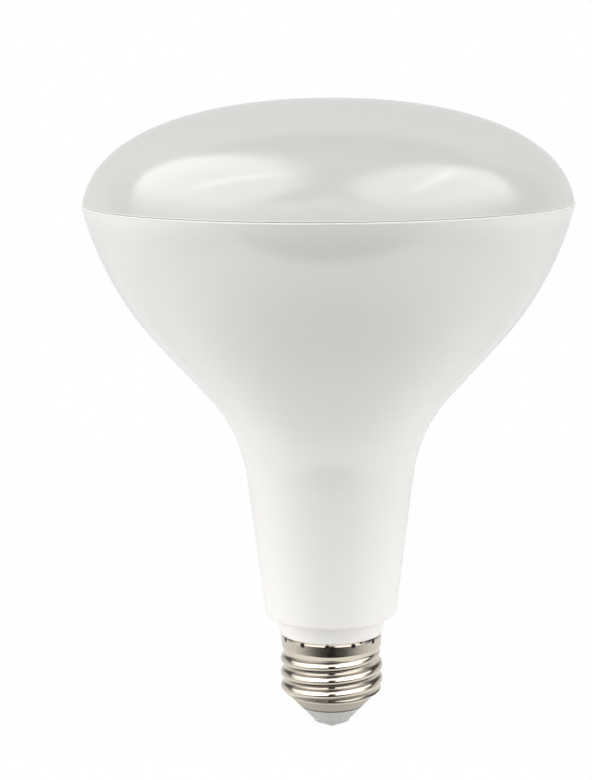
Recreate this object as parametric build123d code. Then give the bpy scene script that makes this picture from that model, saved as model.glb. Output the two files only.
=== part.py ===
# Reflector lamp with a medium screw base: +Z up the axis, origin at the tip of the centre contact, mm
import os
from math import asin, atan, ceil, cos, degrees, radians, sin, tan

from build123d import *

# Heights above the contact's tip
seam_z = 136.0
shoulder_z = 29.8
shell_top_z = 25.3

# Diffuser lens: one curve from the seam to the crown
rim_r = 61.5
lens_inset = 0.3
lens_h = 25.75
lens_draft = 8.8
lens_side_pull = 16.6
lens_crown_pull = 34.8
lens_edge_r = 0.12
shadow_gap = 0.08
shadow_depth = 1.3
rim_wall = 3.5
plug_h = 4.0
plug_fit = 0.15
plug_floor_gap = 0.3

# Housing: bowl arc, straight flare, throat arc, tapered neck and collar
bowl_draft = 13.4
bowl_r = 80.0
flare_angle = 42.1
throat_r = 38.3
neck_r = 16.7
neck_taper = 7.15
neck_edge_r = 1.8
shoulder_flat = 0.2
rim_edge_r = 0.35
collar_top_r = 13.9
collar_r = 13.3
collar_edge_r = 0.35

# Screw shell: rolled sheet with a knuckle thread
crest_r = 13.15
thread_depth = 0.84
thread_pitch = 3.629
crest_arc_r = 1.45
thread_left_z = 18.48
thread_low_z = 11.0
thread_high_z = 19.4
low_run_turns = 0.4
low_run_sink = 2.2
high_run_turns = 0.5
high_run_sink = 0.75
shell_wall = 0.4
skirt_r = 12.85
skirt_end_z = 22.2
skirt_blend_h = 1.5
crimp_h = 0.7
crimp_in = 0.2
valley_flat = 0.06
foot_dig = 0.1
ridge_dig = 0.5
stake_count = 12
stake_phase = -94.6
stake_r = 0.5
stake_depth = 0.3
stake_drop = 1.0

# Lower end of the cap
cone_angle = 43.5
contact_r = 4.5
contact_h = 1.85
contact_edge_h = 0.25
nub_r = 0.8
lip_r = 8.5
lip_band = 0.97
lip_step = 0.4
insulator_gap = 0.15
insulator_fit = 0.1
flange_r = 10.6
flange_h = 2.0
shank_r = 1.2
shank_fit = 0.1
shank_over = 1.0

# Housing's spigot inside the shell
spigot_fit = 0.1
land_h = 2.6
spigot_end_z = 13.5

root_r = crest_r - thread_depth
core_r = root_r + valley_flat
lip_step_r = core_r - lip_band
cone_slope = tan(radians(cone_angle))
wall_across = shell_wall / cos(radians(cone_angle))


def cone_z(radius, step=0.0):
    return contact_h + (radius - step - contact_r) / cone_slope


def cone_radius(z):
    return contact_r + (z - contact_h) * cone_slope


lip_z = cone_z(lip_r)
lip_step_z = cone_z(lip_step_r)


def turned(edges):
    return revolve(Plane.XZ * make_face(edges), Axis.Z)


def rounded(shape, radius, z, size):
    rings = shape.edges().filter_by(GeomType.CIRCLE)
    ring = min(rings, key=lambda edge: abs(edge.radius - radius) + abs(edge.center().Z - z))
    return fillet(ring, size)


def lens():
    lens_r = rim_r - lens_inset
    edge_z = seam_z + shadow_gap
    apex_z = seam_z + lens_h
    draft = radians(lens_draft)
    plug_r = rim_r - rim_wall - plug_fit
    side_pull = (lens_r - lens_side_pull * sin(draft), edge_z + lens_side_pull * cos(draft))
    dome = Bezier((lens_r, edge_z), side_pull, (lens_crown_pull, apex_z), (0, apex_z))
    under = Polyline(
        (0, apex_z),
        (0, seam_z - plug_h),
        (plug_r, seam_z - plug_h),
        (plug_r, seam_z),
        (rim_r - shadow_depth, seam_z),
        (rim_r - shadow_depth, edge_z),
        (lens_r, edge_z),
    )
    return rounded(turned(dome + under), lens_r, edge_z, lens_edge_r)


def housing():
    recess_r = rim_r - rim_wall
    recess_z = seam_z - plug_h - plug_floor_gap
    land_r = skirt_r - shell_wall - spigot_fit
    pilot_r = core_r - shell_wall - spigot_fit
    draft, flare, taper = radians(bowl_draft), radians(flare_angle), radians(neck_taper)
    bowl = JernArc((rim_r, seam_z), (-sin(draft), -cos(draft)), bowl_r, bowl_draft - flare_angle)
    bowl_end = bowl @ 1
    drop = bowl_end.Y * tan(flare) - bowl_end.X + neck_r - shoulder_z * tan(taper)
    throat_z = drop / (tan(flare) - tan(taper))
    throat = (neck_r + (throat_z - shoulder_z) * tan(taper), throat_z)
    flank = FilletPolyline(bowl_end, throat, (neck_r, shoulder_z), radius=throat_r)
    rest = Polyline(
        (neck_r, shoulder_z),
        (collar_top_r, shoulder_z),
        (collar_r, shell_top_z),
        (land_r - crimp_in, shell_top_z),
        (land_r, shell_top_z - crimp_h),
        (land_r, shell_top_z - land_h),
        (pilot_r, shell_top_z - land_h),
        (pilot_r, spigot_end_z),
        (0, spigot_end_z),
        (0, recess_z),
        (recess_r, recess_z),
        (recess_r, seam_z),
        (rim_r, seam_z),
    )
    body = turned(bowl + flank + rest)
    body = rounded(body, rim_r, seam_z, rim_edge_r)
    body = rounded(body, neck_r, shoulder_z, min(neck_edge_r, neck_r - collar_top_r - shoulder_flat))
    return rounded(body, collar_r, shell_top_z, collar_edge_r)


def thread_section(inset):
    # Two tangent arcs per flank give the knuckle thread, and its foot goes on into the sheet
    lean = 2 * atan(2 * thread_depth / thread_pitch)
    root_arc_r = thread_pitch / (2 * sin(lean)) - crest_arc_r
    start = asin(1 - valley_flat / root_arc_r)
    foot = (core_r - inset, root_arc_r * cos(start) - thread_pitch / 2)
    toe = (foot[0] - foot_dig, foot[1] - foot_dig * tan(start))
    bend = (crest_r - crest_arc_r * (1 - cos(lean)) - inset, -crest_arc_r * sin(lean))
    base_r = foot[0] - ridge_dig
    low = TangentArc(foot, bend, tangent=(cos(start), sin(start)))
    crest = ThreePointArc(bend, (crest_r - inset, 0), (bend[0], -bend[1]))
    high = mirror(low, Plane.XZ)
    base = Polyline((foot[0], -foot[1]), (toe[0], -toe[1]), (base_r, -toe[1]), (base_r, toe[1]), toe, foot)
    return Plane.XZ * make_face(low + crest + high + base)


def on_thread(z):
    return Pos(0, 0, z) * Rot(0, 0, 180 + 360 * (z - thread_left_z) / thread_pitch)


def thread_run(section, turns, sink=0.0):
    rise = turns * thread_pitch
    path = Helix(thread_pitch, rise, crest_r, cone_angle=-degrees(atan(sink / rise)))
    return sweep(section, path, is_frenet=True)


def sheet_face(inset):
    # Solid inside the rolled sheet's outer face, or with an inset inside its inner face
    across = inset / cos(radians(cone_angle))
    end_z, top_z = lip_z - inset, shell_top_z + inset
    step_z = lip_step_z + inset
    step_r = cone_radius(step_z) - across
    skirt = skirt_r - inset
    core = turned(Polyline(
        (0, end_z),
        (cone_radius(end_z) - across, end_z),
        (step_r, step_z),
        (step_r + lip_step, step_z),
        (core_r - inset, cone_z(core_r - inset + across, lip_step)),
        (core_r - inset, skirt_end_z - skirt_blend_h),
        (skirt, skirt_end_z),
        (skirt, shell_top_z - crimp_h),
        (skirt - crimp_in - inset * crimp_in / crimp_h, top_z),
        (0, top_z),
        (0, end_z),
    ))
    # Full thread in runs of half a turn at most, and a run-out at each end that sinks into the sheet
    section = thread_section(inset)
    turns = (thread_high_z - thread_low_z) / thread_pitch
    runs = ceil(2 * turns)
    run = thread_run(section, turns / runs)
    ridge = [on_thread(thread_low_z + index * turns / runs * thread_pitch) * run for index in range(runs)]
    ridge.append(on_thread(thread_high_z) * thread_run(section, high_run_turns, high_run_sink))
    ridge.append(on_thread(thread_low_z) * Rot(180, 0, 0) * thread_run(section, low_run_turns, low_run_sink))
    return core.fuse(*ridge)


def screw_shell():
    shell = sheet_face(0) - sheet_face(shell_wall)
    punch = Rot(0, 90, 0) * Cone(stake_r / 2, stake_r, stake_depth)
    seat = Pos(skirt_r - stake_depth / 2, 0, shell_top_z - stake_drop)
    for index in range(stake_count):
        shell -= Rot(0, 0, stake_phase + index * 360 / stake_count) * seat * punch
    return shell


def insulator():
    gap_z = lip_z - insulator_gap
    inset = wall_across + insulator_fit
    bore_r = shank_r + shank_fit
    flange_z = cone_z(flange_r + inset)
    return turned(Polyline(
        (bore_r, contact_h),
        (contact_r, contact_h),
        (cone_radius(gap_z), gap_z),
        (cone_radius(gap_z) - inset, gap_z),
        (flange_r, flange_z),
        (flange_r, flange_z + flange_h),
        (bore_r, flange_z + flange_h),
        (bore_r, contact_h),
    ))


def contact():
    shank_top = cone_z(flange_r + wall_across + insulator_fit) + flange_h + shank_over
    return turned(Polyline(
        (0, 0),
        (nub_r, 0),
        (contact_r, contact_h - contact_edge_h),
        (contact_r, contact_h),
        (shank_r, contact_h),
        (shank_r, shank_top),
        (0, shank_top),
        (0, 0),
    ))


os.makedirs("parts", exist_ok=True)
for node, shape in {
    "diffuser_lens": lens(),
    "housing": housing(),
    "screw_shell": screw_shell(),
    "insulator": insulator(),
    "centre_contact": contact(),
}.items():
    export_step(shape, f"parts/{node}.step")
    print(node, "volume", round(shape.volume, 1), "mm3")
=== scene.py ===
import math

import bpy
from mathutils import Matrix, Vector


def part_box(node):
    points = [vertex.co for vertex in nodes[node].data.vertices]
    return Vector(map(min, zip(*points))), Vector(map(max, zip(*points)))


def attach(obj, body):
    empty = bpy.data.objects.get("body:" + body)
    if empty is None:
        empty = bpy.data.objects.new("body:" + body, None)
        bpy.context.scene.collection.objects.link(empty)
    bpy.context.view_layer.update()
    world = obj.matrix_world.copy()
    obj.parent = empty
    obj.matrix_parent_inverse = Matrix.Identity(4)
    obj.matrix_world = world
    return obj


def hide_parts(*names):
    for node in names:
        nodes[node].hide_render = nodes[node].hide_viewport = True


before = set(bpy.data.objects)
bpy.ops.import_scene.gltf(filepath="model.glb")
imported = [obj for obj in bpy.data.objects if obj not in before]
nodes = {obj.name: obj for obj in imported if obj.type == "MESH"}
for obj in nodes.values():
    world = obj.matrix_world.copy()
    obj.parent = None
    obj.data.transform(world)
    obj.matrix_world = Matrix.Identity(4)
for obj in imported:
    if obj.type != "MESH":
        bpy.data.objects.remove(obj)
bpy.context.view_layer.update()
mm = 0.001
print("frame loaded:", sorted(nodes))


class Wire:  # one socket of a node tree, with maths on it
    def __init__(self, tree, socket=None):
        self.tree = tree
        self.socket = socket

    def feed(self, socket, value):
        if isinstance(value, Wire):
            self.tree.links.new(value.socket, socket)
        else:
            socket.default_value = value

    def node(self, kind, settings=None, inputs=None, output=0):
        made = self.tree.nodes.new(kind)
        for name, value in (settings or {}).items():
            setattr(made, name, value)
        for name, value in (inputs or {}).items():
            self.feed(made.inputs[name], value)
        return Wire(self.tree, made.outputs[output])

    def maths(self, operation, *values):
        return self.node("ShaderNodeMath", {"operation": operation}, dict(enumerate(values)))

    def __add__(self, other):
        return self.maths("ADD", self, other)

    def __radd__(self, other):
        return self.maths("ADD", other, self)

    def __sub__(self, other):
        return self.maths("SUBTRACT", self, other)

    def __rsub__(self, other):
        return self.maths("SUBTRACT", other, self)

    def __mul__(self, other):
        return self.maths("MULTIPLY", self, other)

    def __rmul__(self, other):
        return self.maths("MULTIPLY", other, self)

    def __truediv__(self, other):
        return self.maths("DIVIDE", self, other)

    def __rtruediv__(self, other):
        return self.maths("DIVIDE", other, self)

    def __abs__(self):
        return self.maths("ABSOLUTE", self)

    def rise(self, low, high):  # 0 below low, 1 above high, smooth between
        return self.node("ShaderNodeMapRange", {"interpolation_type": "SMOOTHSTEP"},
                         {"Value": self, "From Min": low, "From Max": high})

    def blend(self, first, second):  # value from first to second as this goes from 0 to 1
        return first + self * (second - first)

    def tint(self, first, second):  # colour from first to second as this goes from 0 to 1
        return self.node("ShaderNodeMix", {"data_type": "RGBA"}, {0: self, 6: first, 7: second}, 2)


def newMaterial(name, constants):
    material = bpy.data.materials.new(name)
    material.use_nodes = True
    tree = material.node_tree
    shader = tree.nodes["Principled BSDF"]
    for socket, value in constants.items():
        shader.inputs[socket].default_value = value
    return material, shader, Wire(tree)


def place(wire):
    return wire.node("ShaderNodeTexCoord", output=3)


def axes(wire, vector):
    split = wire.node("ShaderNodeSeparateXYZ", None, {0: vector}).socket.node
    return [Wire(wire.tree, split.outputs[axis]) for axis in range(3)]


def grain(wire, scale, stretch=(1, 1, 1)):
    spot = wire.node("ShaderNodeMapping", None, {"Vector": place(wire), "Scale": stretch})
    return wire.node("ShaderNodeTexNoise", None,
                     {"Vector": spot, "Scale": scale, "Detail": 3.0, "Roughness": 0.55})


def bump(wire, height, strength, distance):
    return wire.node("ShaderNodeBump", None,
                     {"Height": height, "Strength": strength, "Distance": distance})


def heightOver(wire, level):  # mm above a level that is given in metres
    return axes(wire, place(wire))[2] / mm - level / mm


def mottle(wire, look):  # base colour that wanders between two tones
    return grain(wire, look["grain"]).tint(look["deep"], look["tone"])


def sheen(wire, look):  # roughness with a fine grain in it
    return grain(wire, look["fineGrain"]) * look["roughSpan"] + look["rough"]


# Screw shell: a closed sheet with the knuckle thread, its run-outs, the crimped top and the stake marks
shellForm = dict(  # mm
    pitch=3.629,
    depth=0.84,
    crestArc=1.45,
    leftCrest=18.3,  # height of a crest on the lamp's left
    skirtLines=((20.45, 12.38), (21.9, 12.80), (24.6, 12.95)),  # heights and radii above the thread
    skirtSoft=0.06,
    runOut=(19.3, 20.3),  # heights between which the last crest sinks
    runOutSink=0.75,
    crimpHigh=0.7,
    crimpIn=0.2,
    crimpCurve=1.5,
    # painted shade on the crimped top
    crimpShade=0.7,
    crimpShadeHigh=(0.05, 0.3),  # shares of its height between which the painted shade comes in
    coneAngle=43.5,
    lip=8.5,
    lipOver=0.38,  # how far the thread's end stands out from the cone
    lipOverZ=(9.1, 9.55),
    lipSoft=0.2,
    lipStepShade=(9.0, 9.3, 9.9, 10.4),  # painted shade in a strip over the lip: start, full, waning and end
    lipCut=(-0.3, 0),  # how far the thread stands beyond the cone where the cone cuts it
    wall=0.4,
    stakes=12,
    stakePhase=-94.6,
    stakeDrop=0.85,
    stakeSize=0.6,
    stakeDepth=0.22,
    stakeHollow=(0.1, 0.8),  # in sizes of the mark: its floor and its edge
    # painted shade in the stake marks: full inside and gone outside, in sizes of the mark
    stakeDark=(0.85, 1.3),
    nick=(-54, 0.2, 0.4),  # angle, drop and size of a stray mark
    paintedShade=(0.65, 1.05),  # distances from a crest between which the painted shade of the valley comes in
    paintedFoldLine=(0.75, 0.95, 1.15, 1.4),  # painted reflection, a dark line on the upper flank: start, full, waning and end
    paintedFoldDark=0.6,
    bareSkirt=(-0.1, 0.05),  # how far the thread clears the skirt and the lip where it shows
    bareLip=(-0.05, 0.1),
    around=600,
    stepOut=0.145,
    stepIn=0.8,
    weld=0.001,
    smoothAngle=50,
)


def smooth(value, low, high):
    share = min(max((value - low) / (high - low), 0), 1)
    return share * share * (3 - 2 * share)


def band(value, start, full, waning, end):  # 1 between full and waning, 0 outside start and end
    return smooth(value, start, full) * (1 - smooth(value, waning, end))


def softLeast(first, second, soft):  # the smaller of two, eased where they meet
    share = min(max(0.5 + (second - first) / (2 * soft), 0), 1)
    return second + (first - second) * share - soft * share * (1 - share)


def threadWave(turn, crest):
    form = shellForm
    lean = 2 * math.atan(2 * form["depth"] / form["pitch"])
    crestArc = form["crestArc"]
    rootArc = form["pitch"] / (2 * math.sin(lean)) - crestArc
    off = abs(turn - round(turn)) * form["pitch"]
    if off < crestArc * math.sin(lean):
        return crest - crestArc + math.sqrt(crestArc ** 2 - off ** 2)
    fromRoot = form["pitch"] / 2 - off
    return crest - form["depth"] + rootArc - math.sqrt(rootArc ** 2 - fromRoot ** 2)


def stakeDistance(angle, drop):  # from the nearest mark's middle, in sizes of that mark
    form = shellForm
    step = 360 / form["stakes"]
    nearest = form["stakePhase"] + step * round((angle - form["stakePhase"]) / step)
    marks = [(nearest, form["stakeDrop"], form["stakeSize"]), form["nick"]]
    skirt = form["skirtLines"][-1][1]
    away = []
    for middle, low, size in marks:
        across = math.radians((angle - middle + 180) % 360 - 180) * skirt
        away.append(math.hypot(across, drop - low) / size)
    return min(away)


def along(z, points):  # radius at a height, on straight lines through points
    for (startZ, start), (endZ, end) in zip(points, points[1:]):
        if z < endZ:
            return start + (end - start) * max(z - startZ, 0) / (endZ - startZ)
    return points[-1][1]


def sheetForm(angle, z, crest, lipZ, topZ):  # radius, with how much painted shade and how much painted darkness the nickel gets there
    form = shellForm
    turn = (z - form["leftCrest"]) / form["pitch"] - (angle - 180) / 360
    off = (turn - round(turn)) * form["pitch"]
    runStart, runEnd = form["runOut"]
    thread = threadWave(turn, crest) - form["runOutSink"] * max(z - off - runStart, 0) / (runEnd - runStart)
    skirt = along(z, form["skirtLines"])
    cone = form["lip"] + (z - lipZ) * math.tan(math.radians(form["coneAngle"]))
    lip = cone + form["lipOver"] * smooth(z, *form["lipOverZ"])
    crimp = max(z - topZ + form["crimpHigh"], 0) / form["crimpHigh"]
    radius = -softLeast(-thread, -skirt, form["skirtSoft"]) - form["crimpIn"] * crimp ** form["crimpCurve"]
    radius = softLeast(radius, lip, form["lipSoft"])
    bare = smooth(thread - skirt, *form["bareSkirt"]) * smooth(lip - thread, *form["bareLip"])
    # painted shade in the thread's valleys
    paintedShade = smooth(abs(off), *form["paintedShade"]) * bare
    # painted shade in a strip over the lip, where the thread meets the cone
    step = band(z, *form["lipStepShade"]) * smooth(thread - lip, *form["lipCut"])
    # painted shade on the crimped top
    edge = form["crimpShade"] * smooth(crimp, *form["crimpShadeHigh"])
    # painted reflection: a dark line along the upper flank
    paintedFoldLine = band(off, *form["paintedFoldLine"]) * form["paintedFoldDark"] * bare
    return radius, max(paintedShade, step, edge), paintedFoldLine


def buildShell():
    form = shellForm
    low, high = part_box("screw_shell")
    crest, lipZ, topZ = (value / mm for value in (high[0], low[2], high[2]))
    outside = round((topZ - lipZ) / form["stepOut"])
    inside = round((topZ - lipZ) / form["stepIn"])
    section = [(lipZ + (topZ - lipZ) * index / outside, 0) for index in range(outside + 1)]
    section += [(topZ - (topZ - lipZ) * index / inside, form["wall"]) for index in range(inside + 1)]
    bpy.ops.object.select_all(action="DESELECT")
    bpy.ops.mesh.primitive_grid_add(x_subdivisions=form["around"], y_subdivisions=len(section), size=1)
    shell = bpy.context.object
    shell.name = "rolledScrewShell"
    mesh = shell.data
    # painted darkness: shade in the stake marks and reflection along the upper flanks
    paintedDark = mesh.attributes.new("paintedDark", "FLOAT", "POINT")
    # painted shade in the thread's valleys, the strip over the lip and the crimped top
    paintedShade = mesh.attributes.new("paintedShade", "FLOAT", "POINT")
    for vertex in mesh.vertices:  # the flat sheet is rolled round the axis, and over its top and lip
        angle = 360 * (vertex.co.x + 0.5)
        z, inset = section[round((vertex.co.y + 0.5) * len(section)) % len(section)]
        radius, shadeLevel, paintedFoldLine = sheetForm(angle, z, crest, lipZ, topZ)
        mark = stakeDistance(angle, topZ - z)
        radius -= inset if inset else form["stakeDepth"] * (1 - smooth(mark, *form["stakeHollow"]))
        turn = math.radians(angle)
        vertex.co = Vector((radius * math.cos(turn), radius * math.sin(turn), z)) * mm
        paintedDark.data[vertex.index].value = max(1 - smooth(mark, *form["stakeDark"]), paintedFoldLine)
        paintedShade.data[vertex.index].value = shadeLevel
    bpy.ops.object.mode_set(mode="EDIT")
    bpy.ops.mesh.select_all(action="SELECT")
    bpy.ops.mesh.remove_doubles(threshold=form["weld"] * mm)
    bpy.ops.mesh.normals_make_consistent(inside=False)
    bpy.ops.object.mode_set(mode="OBJECT")
    bpy.ops.object.shade_smooth_by_angle(angle=math.radians(form["smoothAngle"]))
    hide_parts("screw_shell")
    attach(shell, "root")
    return shell


screwShell = buildShell()
print("screw shell rolled:", len(screwShell.data.polygons), "faces")

lensLook = dict(
    tone=(0.57, 0.57, 0.545, 1),
    deep=(0.555, 0.555, 0.53, 1),
    grain=60.0,
    rough=0.11,
    fineGrain=900.0,
    roughSpan=0.06,
    paintedRimTone=(0.62, 0.62, 0.592, 1),  # painted light: lighter towards the seam, where the housing backs it
    rimHigh=(11.0, 1.0),  # mm above the seam
    # painted light on the lens's lowest edge, against the seam's shade
    paintedEdgeLight=(0.86, 0.85, 0.82, 1),
    edgeHigh=(0.5, 0.15),
)


def lensPlastic():
    look = lensLook
    material, shader, wire = newMaterial("frostedLensPlastic", {"IOR": 1.49})
    above = heightOver(wire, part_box("housing")[1][2])
    # painted light on the lens near the seam
    tone = above.rise(*look["rimHigh"]).tint(mottle(wire, look), look["paintedRimTone"])
    # painted light on the lens's lowest edge
    wire.feed(shader.inputs["Base Color"], above.rise(*look["edgeHigh"]).tint(tone, look["paintedEdgeLight"]))
    wire.feed(shader.inputs["Roughness"], sheen(wire, look))
    return material


housingLook = dict(
    tone=(0.875, 0.858, 0.832, 1),
    deep=(0.855, 0.838, 0.812, 1),
    grain=45.0,
    rough=0.09,
    fineGrain=700.0,
    roughSpan=0.08,
    bumpGrain=1400.0,
    bump=(0.05, 0.0002),  # strength and distance
    # painted shade along the seam, just under the lens
    paintedRimTone=(0.72, 0.71, 0.69, 1),
    rimHigh=(-0.6, -0.35),  # mm above the seam, as all heights here
    rimRough=0.5,
    paintedRimLight=(0.94, 0.924, 0.9, 1),  # painted light: whiter towards the rim, where the wall thins
    paleHigh=(-6.0, 0.5),
    matteHigh=(-26.0, -52.0),  # duller moulding down the throat and neck
    matteRough=0.11,
    # painted shade: darker down the neck
    neckShadeTone=(0.845, 0.828, 0.802, 1),
    neckHigh=(-54.0, -76.0),
)


def housingPlastic():
    look = housingLook
    material, shader, wire = newMaterial("mouldedHousingPlastic", {"IOR": 1.55, "Specular IOR Level": 0.9})
    above = heightOver(wire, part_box("housing")[1][2])
    edge = above.rise(*look["rimHigh"])
    # painted light towards the rim
    tone = above.rise(*look["paleHigh"]).tint(mottle(wire, look), look["paintedRimLight"])
    # painted shade down the neck
    tone = above.rise(*look["neckHigh"]).tint(tone, look["neckShadeTone"])
    rough = above.rise(*look["matteHigh"]) * look["matteRough"] + sheen(wire, look)
    # painted shade along the rim under the seam
    wire.feed(shader.inputs["Base Color"], edge.tint(tone, look["paintedRimTone"]))
    wire.feed(shader.inputs["Roughness"], edge * look["rimRough"] + rough)
    wire.feed(shader.inputs["Normal"], bump(wire, grain(wire, look["bumpGrain"]), *look["bump"]))
    return material


shellLook = dict(
    tone=(0.68, 0.62, 0.53, 1),
    deep=(0.62, 0.555, 0.46, 1),
    grain=260.0,
    stretch=(1, 1, 9),  # rolling lines run round the shell
    rough=0.1,
    roughSpan=0.06,
    # painted shade in the valleys, the strip over the lip and the crimped top
    paintedShade=(0.14, 0.12, 0.098, 1),
    hollowShare=(0.8, 0.3),  # plain, and with the grain
    hollowRough=0.1,
    # painted shade in the stake marks and painted reflection along the upper flanks
    paintedDark=(0.015, 0.013, 0.012, 1),
    aslant=(0.5, 0.8),  # the painted shade and the painted darkness fade when seen aslant
    coneShadeTone=(0.47, 0.43, 0.365, 1),  # the cone below the thread is matte, and painted darker for the shade it reflects
    coneHigh=(3.1, 2.7),  # mm above the lip
    coneRough=0.4,
    # painted shade along the shell's bottom edge
    lipShadeTone=(0.13, 0.12, 0.105, 1),
    lipHigh=(0.45, 0.15),
)


def shellNickel():
    look = shellLook
    material, shader, wire = newMaterial("rolledShellNickel", {"Metallic": 1.0})
    rolled = grain(wire, look["grain"], look["stretch"])
    facing = 1 - wire.node("ShaderNodeLayerWeight", output=1).rise(*look["aslant"])
    # painted shade from the sheet's points, fading when seen aslant
    paintedShade = wire.node("ShaderNodeAttribute", {"attribute_name": "paintedShade"}, output=2) * facing
    # painted darkness from the sheet's points: shade in the stake marks, reflection on the upper flanks
    paintedDark = wire.node("ShaderNodeAttribute", {"attribute_name": "paintedDark"}, output=2) * facing
    above = heightOver(wire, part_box("screw_shell")[0][2])
    cone = above.rise(*look["coneHigh"])
    plain, grained = look["hollowShare"]
    tone = rolled.tint(look["deep"], look["tone"])
    # painted shade darkens the nickel in the valleys, over the lip and on the crimp
    tone = (paintedShade * (plain + rolled * grained)).tint(tone, look["paintedShade"])
    # painted shade on the cone
    tone = cone.tint(tone, look["coneShadeTone"])
    # painted shade along the shell's bottom edge
    tone = above.rise(*look["lipHigh"]).tint(tone, look["lipShadeTone"])
    rough = rolled * look["roughSpan"] + paintedShade * look["hollowRough"]
    # painted darkness over the base colour
    wire.feed(shader.inputs["Base Color"], paintedDark.tint(tone, look["paintedDark"]))
    wire.feed(shader.inputs["Roughness"], rough + cone * look["coneRough"] + look["rough"])
    return material


insulatorLook = dict(
    tone=(0.52, 0.512, 0.495, 1),
    deep=(0.49, 0.482, 0.465, 1),
    grain=400.0,
    rough=0.45,
    fineGrain=900.0,
    roughSpan=0.1,
)


def insulatorPlastic():
    material, shader, wire = newMaterial("capInsulatorPlastic", {"IOR": 1.5})
    wire.feed(shader.inputs["Base Color"], mottle(wire, insulatorLook))
    wire.feed(shader.inputs["Roughness"], sheen(wire, insulatorLook))
    return material


contactLook = dict(
    tone=(0.50, 0.495, 0.485, 1),
    deep=(0.46, 0.455, 0.445, 1),
    grain=500.0,
    rough=0.42,
    fineGrain=900.0,
    roughSpan=0.1,
)


def contactNickel():
    material, shader, wire = newMaterial("contactMatteNickel", {"Metallic": 0.35})
    wire.feed(shader.inputs["Base Color"], mottle(wire, contactLook))
    wire.feed(shader.inputs["Roughness"], sheen(wire, contactLook))
    return material


for piece, makeMaterial in (
    (nodes["diffuser_lens"], lensPlastic),
    (nodes["housing"], housingPlastic),
    (screwShell, shellNickel),
    (nodes["insulator"], insulatorPlastic),
    (nodes["centre_contact"], contactNickel),
):
    piece.data.materials.clear()
    piece.data.materials.append(makeMaterial())
print("materials set")

studio = dict(
    fill=0.4,  # even light on the object
    top=dict(azimuth=0, elevation=60, distance=1.0, width=0.9, height=0.6, glow=2.75),
    left=dict(azimuth=-76, elevation=19, distance=1.0, width=1.1, height=0.75, glow=2.75),
    right=dict(azimuth=75, elevation=19, distance=1.0, width=1.1, height=0.75, glow=2.35),
    aim=(0, 0, 0.09),
    floorSize=8.0,
    floorTone=(0.86, 0.12),  # near the lamp and away from it
    floorReach=(0.09, 0.26),
    floorFront=(0.11, 0.25),  # its front edge, beyond which it is dark
    floorRough=0.9,
    floorGlow=0.975,  # share of plain white near the lamp, where its shadow stays
    shadowReach=(0.1, 0.45),
)
mirrored = dict(  # what gloss shows of the studio: levels, with azimuths and heights in degrees
    panels=(3.8, 2.2),  # pair of soft panels overhead, inside and outside
    panelsOuter=(1.1, 2.4),
    panelsFade=0.85,  # how much they fade, far to the side
    panelsFar=(1.9, 3.8),
    leftPanel=(-1.3, 0.1, 1.2, 1.0),  # middle and reach, across and forward, in heights above the lamp
    rightPanel=(1.25, 0.45, 1.12, 1.0),
    panelEdge=(0.86, 1.08),  # soft edge, in reaches
    streaks=3.0,  # brighter lines in the panels
    streakEdge=(0.5, 1.4),
    leftStreak=(-0.66, 0.09, 0.42, 0.05),
    rightStreak=(0.66, 0.16, 0.045, 0.42),
    sides=(2.5, 1.4),  # in front and further round
    sidesFront=(50, 85),
    leftEnd=(84, 112),
    rightEnd=(70, 92),
    sidesTop=(38, 46),
    ceiling=0.12,
    back=(0.8, 0.74),  # low and high
    backLow=(2, 14),
    backStart=(90, 120),  # low, and it starts further round above
    backTurn=22,
    backTop=(45, 52),
    camera=(0.05, 2.2),  # the dark camera stand in front, low and high
    cameraWide=(6, 11),
    cameraLow=(8, 16),
    cameraTop=(46, 56),
    table=(0.85, 1.15),  # near and far
    tableFar=(-75, -48),
    tableEdge=(0.9, 1.0),  # where its front edge lies, in heights above it
    tableTop=(-40, -30),
    room=(0.02, 0.95),  # dark room between the table and the panels, in front and at the sides
    roomWide=(18, 112),
    roomTop=(-20, -14),
    leastHigh=0.02,  # keeps the panels' and the table's places finite at the horizon
)


def softbox(name, azimuth, elevation, distance, width, height, glow):
    light = bpy.data.lights.new(name, "AREA")
    light.shape = "RECTANGLE"
    light.size = width
    light.size_y = height
    light.energy = glow * math.pi * width * height
    box = bpy.data.objects.new(name, light)
    bpy.context.scene.collection.objects.link(box)
    turn, rise = math.radians(azimuth), math.radians(elevation)
    away = Vector((math.sin(turn) * math.cos(rise), -math.cos(turn) * math.cos(rise), math.sin(rise)))
    box.location = Vector(studio["aim"]) + away * distance
    box.rotation_euler = away.to_track_quat("Z", "Y").to_euler()
    box.visible_glossy = False  # gloss shows the panels below instead


def rays(wire, *names):  # 1 on rays of these kinds
    path = wire.node("ShaderNodeLightPath").socket.node
    seen = Wire(wire.tree, path.outputs[names[0]])
    for name in names[1:]:
        seen = seen.maths("MAXIMUM", seen, Wire(wire.tree, path.outputs[name]))
    return seen


def overheadPanels(wire, across, front, high):
    level = wire.maths("MAXIMUM", high, mirrored["leastHigh"])
    across, front = across / level, front / level
    edge = mirrored["streakEdge"]
    shown = []
    lines = []
    for middle, ahead, wide, long in (mirrored["leftPanel"], mirrored["rightPanel"]):
        inward = wire.maths("MAXIMUM", (middle - across) / math.copysign(wide, middle), 0.0)
        forward = (front - ahead) / long
        away = wire.maths("SQRT", inward * inward + forward * forward)
        shown.append(1 - away.rise(*mirrored["panelEdge"]))
    for middle, ahead, wide, long in (mirrored["leftStreak"], mirrored["rightStreak"]):
        line = 1 - abs((across - middle) / wide).rise(*edge)
        lines.append(line * (1 - abs((front - ahead) / long).rise(*edge)))
    bright = abs(across).rise(*mirrored["panelsOuter"]).blend(*mirrored["panels"])
    fade = 1 - abs(across).rise(*mirrored["panelsFar"]) * mirrored["panelsFade"]
    return wire.maths("MAXIMUM", *shown) * fade, bright, wire.maths("MAXIMUM", *lines)


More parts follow.
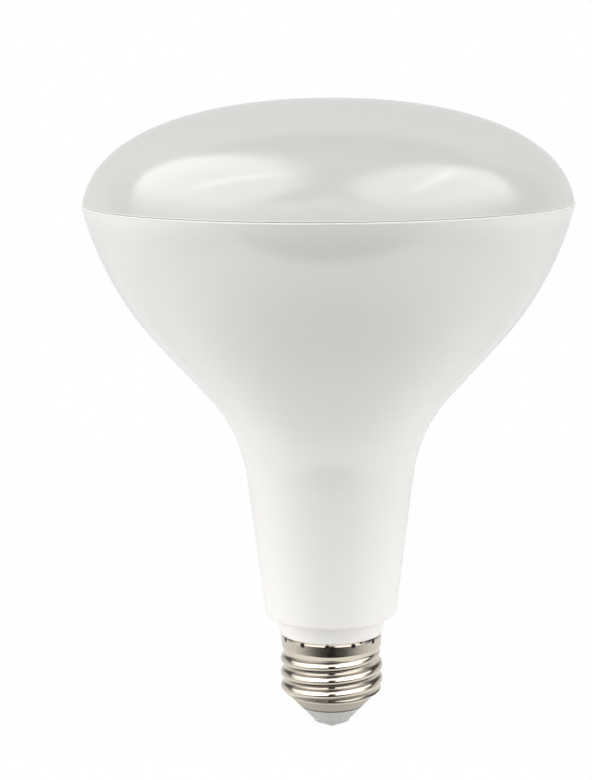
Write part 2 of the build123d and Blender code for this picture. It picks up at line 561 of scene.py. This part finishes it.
def studioMirror(wire):
    across, deep, high = axes(wire, wire.node("ShaderNodeTexCoord"))
    front = 0 - deep
    turn = wire.maths("ARCTAN2", across, front) * math.degrees(1)
    azimuth = abs(turn)
    height = wire.maths("ARCSINE", high) * math.degrees(1)
    show = mirrored
    raised = height.rise(*show["backLow"])
    back = (azimuth - raised * show["backTurn"]).rise(*show["backStart"])
    back = back * (1 - height.rise(*show["backTop"]))
    upper = back.blend(show["ceiling"], raised.blend(*show["back"]))
    ends = (1 - (0 - turn).rise(*show["leftEnd"])) * (1 - turn.rise(*show["rightEnd"]))
    sides = azimuth.rise(*show["sidesFront"]).blend(*show["sides"])
    upper = (ends * (1 - height.rise(*show["sidesTop"]))).blend(upper, sides)
    panels, bright, lines = overheadPanels(wire, across, front, high)
    upper = panels.blend(upper, lines * show["streaks"] + bright)
    stand = (1 - azimuth.rise(*show["cameraWide"])) * (1 - height.rise(*show["cameraTop"]))
    upper = stand.blend(upper, height.rise(*show["cameraLow"]).blend(*show["camera"]))
    room = azimuth.rise(*show["roomWide"]).blend(*show["room"])
    table = height.rise(*show["tableFar"]).blend(*show["table"])
    beyond = (front / wire.maths("MAXIMUM", 0 - high, show["leastHigh"])).rise(*show["tableEdge"])
    beyond = wire.maths("MAXIMUM", beyond, height.rise(*show["tableTop"]))
    lower = beyond.blend(table, room)
    return height.rise(*show["roomTop"]).blend(lower, upper)


def buildWorld():
    world = bpy.data.worlds.new("studioWhite")
    world.use_nodes = True
    bpy.context.scene.world = world
    wire = Wire(world.node_tree)
    back = world.node_tree.nodes["Background"]
    light = rays(wire, "Is Glossy Ray", "Is Transmission Ray").blend(studio["fill"], studioMirror(wire))
    wire.feed(back.inputs["Strength"], rays(wire, "Is Camera Ray").blend(light, 1.0))
    back.inputs["Color"].default_value = (1, 1, 1, 1)


def buildFloor():
    bpy.ops.object.select_all(action="DESELECT")
    bpy.ops.mesh.primitive_plane_add(size=studio["floorSize"], location=(0, 0, 0))
    floor = bpy.context.object
    floor.name = "studioFloor"
    floor.visible_glossy = False  # the lamp's gloss shows the studio below it
    material, shader, wire = newMaterial("studioFloorWhite", {"Roughness": studio["floorRough"]})
    away = wire.node("ShaderNodeVectorMath", {"operation": "LENGTH"}, {0: place(wire)}, 1)
    near, far = [(tone,) * 3 + (1,) for tone in studio["floorTone"]]
    ahead = (0 - axes(wire, place(wire))[1]).rise(*studio["floorFront"])
    reach = wire.maths("MAXIMUM", away.rise(*studio["floorReach"]), ahead)
    wire.feed(shader.inputs["Base Color"], reach.tint(near, far))
    white = away.rise(*studio["shadowReach"]).blend(studio["floorGlow"], 1.0)
    glow = wire.node("ShaderNodeEmission", None, {"Color": (1, 1, 1, 1), "Strength": 1.0})
    seen = rays(wire, "Is Camera Ray", "Is Transmission Ray") * white
    plain = Wire(wire.tree, shader.outputs[0])
    mixed = wire.node("ShaderNodeMixShader", None, {0: seen, 1: plain, 2: glow})
    under = wire.node("ShaderNodeNewGeometry", output=6) * rays(wire, "Is Camera Ray")
    clear = wire.node("ShaderNodeBsdfTransparent")  # from below, the floor is seen through
    mixed = wire.node("ShaderNodeMixShader", None, {0: under, 1: mixed, 2: clear})
    wire.feed(wire.tree.nodes["Material Output"].inputs["Surface"], mixed)
    floor.data.materials.append(material)


buildWorld()
for side in ("top", "left", "right"):
    softbox(side + "Softbox", **studio[side])
buildFloor()
print("studio built")

view = dict(
    distance=538.51 * mm,
    height=177.254 * mm,
    pitch=9.379,  # degrees down
    roll=-0.393,
    focalPixels=2151.87,
    axisX=329.646,  # photo column of the lamp's axis at the optical centre
    size=(592, 780),
    sensor=36.0,
    clipStart=0.01,
)


def placeCamera():
    data = bpy.data.cameras.new("photoCamera")
    data.sensor_fit = "VERTICAL"
    data.sensor_height = view["sensor"]
    wide, high = view["size"]
    data.lens = view["focalPixels"] * data.sensor_height / high
    data.shift_x = (wide / 2 - view["axisX"]) / high
    data.clip_start = view["clipStart"]
    camera = bpy.data.objects.new("photoCamera", data)
    bpy.context.scene.collection.objects.link(camera)
    turn = Matrix.Rotation(math.radians(90 - view["pitch"]), 4, "X")
    turn = turn @ Matrix.Rotation(math.radians(view["roll"]), 4, "Z")
    camera.matrix_world = Matrix.Translation((0, -view["distance"], view["height"])) @ turn
    bpy.context.scene.camera = camera


placeCamera()
bpy.context.scene.view_settings.view_transform = "Standard"
print("camera placed")
